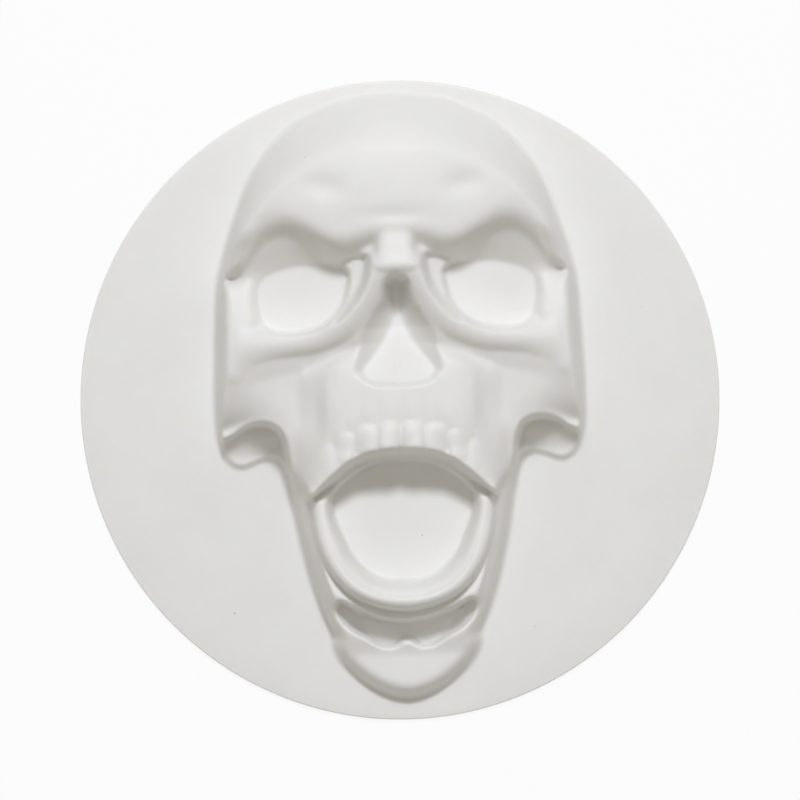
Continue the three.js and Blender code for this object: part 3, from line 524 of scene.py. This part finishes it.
# Each row and its mirror image share their points on the midline, and so both skins close there.
number = np.arange(grid.shape[0] * grid.shape[1]).reshape(grid.shape[:2])
mirror_row = (-np.arange(STATIONS)) % STATIONS
for end in (0, -1):
    number[:, end] = np.minimum(number[:, end], number[mirror_row, end])
after = np.roll(number, -1, 0)
quads = np.stack([after[:, :-1], after[:, 1:], number[:, 1:], number[:, :-1]], axis=2)
used, compact = np.unique(quads.reshape(-1, 4), return_inverse=True)
mesh = bpy.data.meshes.new("mould")
mesh.from_pydata(grid.reshape(-1, 3)[used].tolist(), [], compact.reshape(-1, 4).tolist())
mesh.update()
mesh.polygons.foreach_set("use_smooth", np.ones(len(mesh.polygons), bool))
mould = bpy.data.objects.new("mould", mesh)
bpy.context.collection.objects.link(mould)

# Its silicone is matte and lets a little light in. It is faintly clouded, with a fine skin and a
# few dark specks.
CLOUD_COLOURS = (0.832, 0.819, 0.787), (0.852, 0.841, 0.812)
SPECK_COLOUR = (0.2, 0.17, 0.15)
SPECKS = [  # x, y and radius in metres
    (0.0065, -0.0486, 0.0003), (-0.0619, -0.0749, 0.0004), (0.088, 0.031, 0.0002),
    (-0.031, 0.087, 0.0002), (0.046, -0.083, 0.0002)]
silicone = bpy.data.materials.new("matte_white_silicone")
silicone.use_nodes = True
nodes, links = silicone.node_tree.nodes, silicone.node_tree.links
shader = nodes["Principled BSDF"]
shader.inputs["Subsurface Weight"].default_value = 0.5
shader.inputs["Subsurface Radius"].default_value = (1.0, 0.85, 0.6)
shader.inputs["Subsurface Scale"].default_value = 0.002
place = nodes.new("ShaderNodeTexCoord").outputs["Object"]


def noise(scale, detail):
    """Soft noise on the mould's own coordinates, with its scale in cells a metre."""
    node = nodes.new("ShaderNodeTexNoise")
    node.inputs["Scale"].default_value = scale
    node.inputs["Detail"].default_value = detail
    links.new(place, node.inputs["Vector"])
    return node.outputs["Fac"]


def spread(value, low, high, first, last):
    """A value stretched from the range low to high onto the range first to last."""
    node = nodes.new("ShaderNodeMapRange")
    ends = {"From Min": low, "From Max": high, "To Min": first, "To Max": last}
    for name, end in ends.items():
        node.inputs[name].default_value = end
    links.new(value, node.inputs["Value"])
    return node.outputs["Result"]


def blend(factor, first, second):
    """Two colours mixed by a factor: 0 gives the first and 1 the second."""
    node = nodes.new("ShaderNodeMix")
    node.data_type = "RGBA"
    links.new(factor, node.inputs["Factor"])
    for socket, tint in ((node.inputs["A"], first), (node.inputs["B"], second)):
        if isinstance(tint, tuple):
            socket.default_value = (*tint, 1)
        else:
            links.new(tint, socket)
    return node.outputs["Result"]


colour = blend(spread(noise(34, 3), 0.35, 0.65, 0, 1), *CLOUD_COLOURS)
flattened = nodes.new("ShaderNodeVectorMath")
flattened.operation = "MULTIPLY"
flattened.inputs[1].default_value = (1, 1, 0)
links.new(place, flattened.inputs[0])
for speck_x, speck_y, speck_radius in SPECKS:
    away = nodes.new("ShaderNodeVectorMath")
    away.operation = "DISTANCE"
    away.inputs[1].default_value = (speck_x, speck_y, 0)
    links.new(flattened.outputs["Vector"], away.inputs[0])
    inside = spread(away.outputs["Value"], 0.6 * speck_radius, speck_radius, 0.6, 0)
    colour = blend(inside, colour, SPECK_COLOUR)
links.new(colour, shader.inputs["Base Color"])
links.new(spread(noise(60, 2), 0.3, 0.7, 0.5, 0.6), shader.inputs["Roughness"])
skin = nodes.new("ShaderNodeBump")
skin.inputs["Strength"].default_value = 0.25
skin.inputs["Distance"].default_value = 0.0001
links.new(noise(700, 2), skin.inputs["Height"])
links.new(skin.outputs["Normal"], shader.inputs["Normal"])
mesh.materials.append(silicone)
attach(mould, "root")
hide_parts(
    "rim_flange", "cranium_shell", "face_shell", "right_cheek_shell", "left_cheek_shell",
    "jaw_shell", "chin_shell")

# The ground is a plain pale board just under the mould. What looks straight at it sees mostly
# white, and the rest is the board as it is lit, which keeps the mould's soft shadow.
FLOOR_REACH = 3
FLOOR_DROP = 0.0003
WHITE_SHARE = 0.9
floor_corners = [(-1, -1), (1, -1), (1, 1), (-1, 1)]
floor_mesh = bpy.data.meshes.new("floor")
floor_mesh.from_pydata(
    [(u * FLOOR_REACH, v * FLOOR_REACH, -FLOOR_DROP) for u, v in floor_corners], [], [(0, 1, 2, 3)])
floor = bpy.data.objects.new("floor", floor_mesh)
bpy.context.collection.objects.link(floor)
white = bpy.data.materials.new("white_ground")
white.use_nodes = True
nodes, links = white.node_tree.nodes, white.node_tree.links
nodes["Principled BSDF"].inputs["Base Color"].default_value = (0.85, 0.85, 0.85, 1)
nodes["Principled BSDF"].inputs["Roughness"].default_value = 0.9
glow = nodes.new("ShaderNodeEmission")


def looking(nodes, links, share):
    """The share for a ray that looks, and else 0: the greatest of the flags for a ray from the
    camera, one off a gloss and one through glass, times the share."""
    path = nodes.new("ShaderNodeLightPath")
    value = path.outputs["Is Camera Ray"]
    for name in ("Is Glossy Ray", "Is Transmission Ray"):
        total = nodes.new("ShaderNodeMath")
        total.operation = "MAXIMUM"
        links.new(value, total.inputs[0])
        links.new(path.outputs[name], total.inputs[1])
        value = total.outputs[0]
    total = nodes.new("ShaderNodeMath")
    total.operation = "MULTIPLY"
    total.inputs[1].default_value = share
    links.new(value, total.inputs[0])
    return total.outputs[0]


mix = nodes.new("ShaderNodeMixShader")
links.new(looking(nodes, links, WHITE_SHARE), mix.inputs[0])
links.new(nodes["Principled BSDF"].outputs[0], mix.inputs[1])
links.new(glow.outputs[0], mix.inputs[2])
links.new(mix.outputs[0], nodes["Material Output"].inputs[0])
floor_mesh.materials.append(white)

# Light: one soft lamp from beyond the crown, high and a little to the right, and an even warm
# surround that fills the shadows and looks white.
KEY_DISTANCE = 3.5
KEY_HEIGHT_DEGREES = 60.0
KEY_TURN_DEGREES = 4
KEY_SIZE = 0.5
KEY_COLOUR = (0.93, 0.965, 1.05)
KEY_POWER = 71.5
SURROUND_COLOUR = (1, 0.955, 0.87, 1)
SURROUND_STRENGTH = 0.35
lift, turn = math.radians(KEY_HEIGHT_DEGREES), math.radians(KEY_TURN_DEGREES)
toward = (math.cos(lift) * math.sin(turn), math.cos(lift) * math.cos(turn), math.sin(lift))
lamp_data = bpy.data.lights.new("key", "AREA")
lamp_data.shape = "DISK"
lamp_data.size = KEY_SIZE
lamp_data.color = KEY_COLOUR
lamp_data.energy = KEY_POWER
lamp = bpy.data.objects.new("key", lamp_data)
lamp.location = [KEY_DISTANCE * v for v in toward]
lamp.rotation_euler = (math.radians(90 - KEY_HEIGHT_DEGREES), 0, math.pi - turn)
bpy.context.collection.objects.link(lamp)
world = bpy.data.worlds.new("studio")
world.use_nodes = True
nodes, links = world.node_tree.nodes, world.node_tree.links
nodes["Background"].inputs["Color"].default_value = SURROUND_COLOUR
nodes["Background"].inputs["Strength"].default_value = SURROUND_STRENGTH
white_surround = nodes.new("ShaderNodeBackground")
white_surround.inputs["Color"].default_value = (1, 1, 1, 1)
mix = nodes.new("ShaderNodeMixShader")
links.new(looking(nodes, links, 1.0), mix.inputs[0])
links.new(nodes["Background"].outputs[0], mix.inputs[1])
links.new(white_surround.outputs[0], mix.inputs[2])
links.new(mix.outputs[0], nodes["World Output"].inputs[0])
bpy.context.scene.world = world

# Camera: straight down over the disc's centre, turned by the small lean of the skull in the photo.
VIEW_WIDTH = 0.28795
CAMERA_HEIGHT = 2.5
SKULL_LEAN_DEGREES = 1.75
camera_data = bpy.data.cameras.new("camera")
camera_data.lens = camera_data.sensor_width * CAMERA_HEIGHT / VIEW_WIDTH
camera = bpy.data.objects.new("camera", camera_data)
camera.location = (0, 0, CAMERA_HEIGHT + FLANGE_THICKNESS / 1000)
camera.rotation_euler = (0, 0, math.radians(-SKULL_LEAN_DEGREES))
bpy.context.collection.objects.link(camera)
bpy.context.scene.camera = camera
bpy.context.scene.view_settings.view_transform = "Standard"
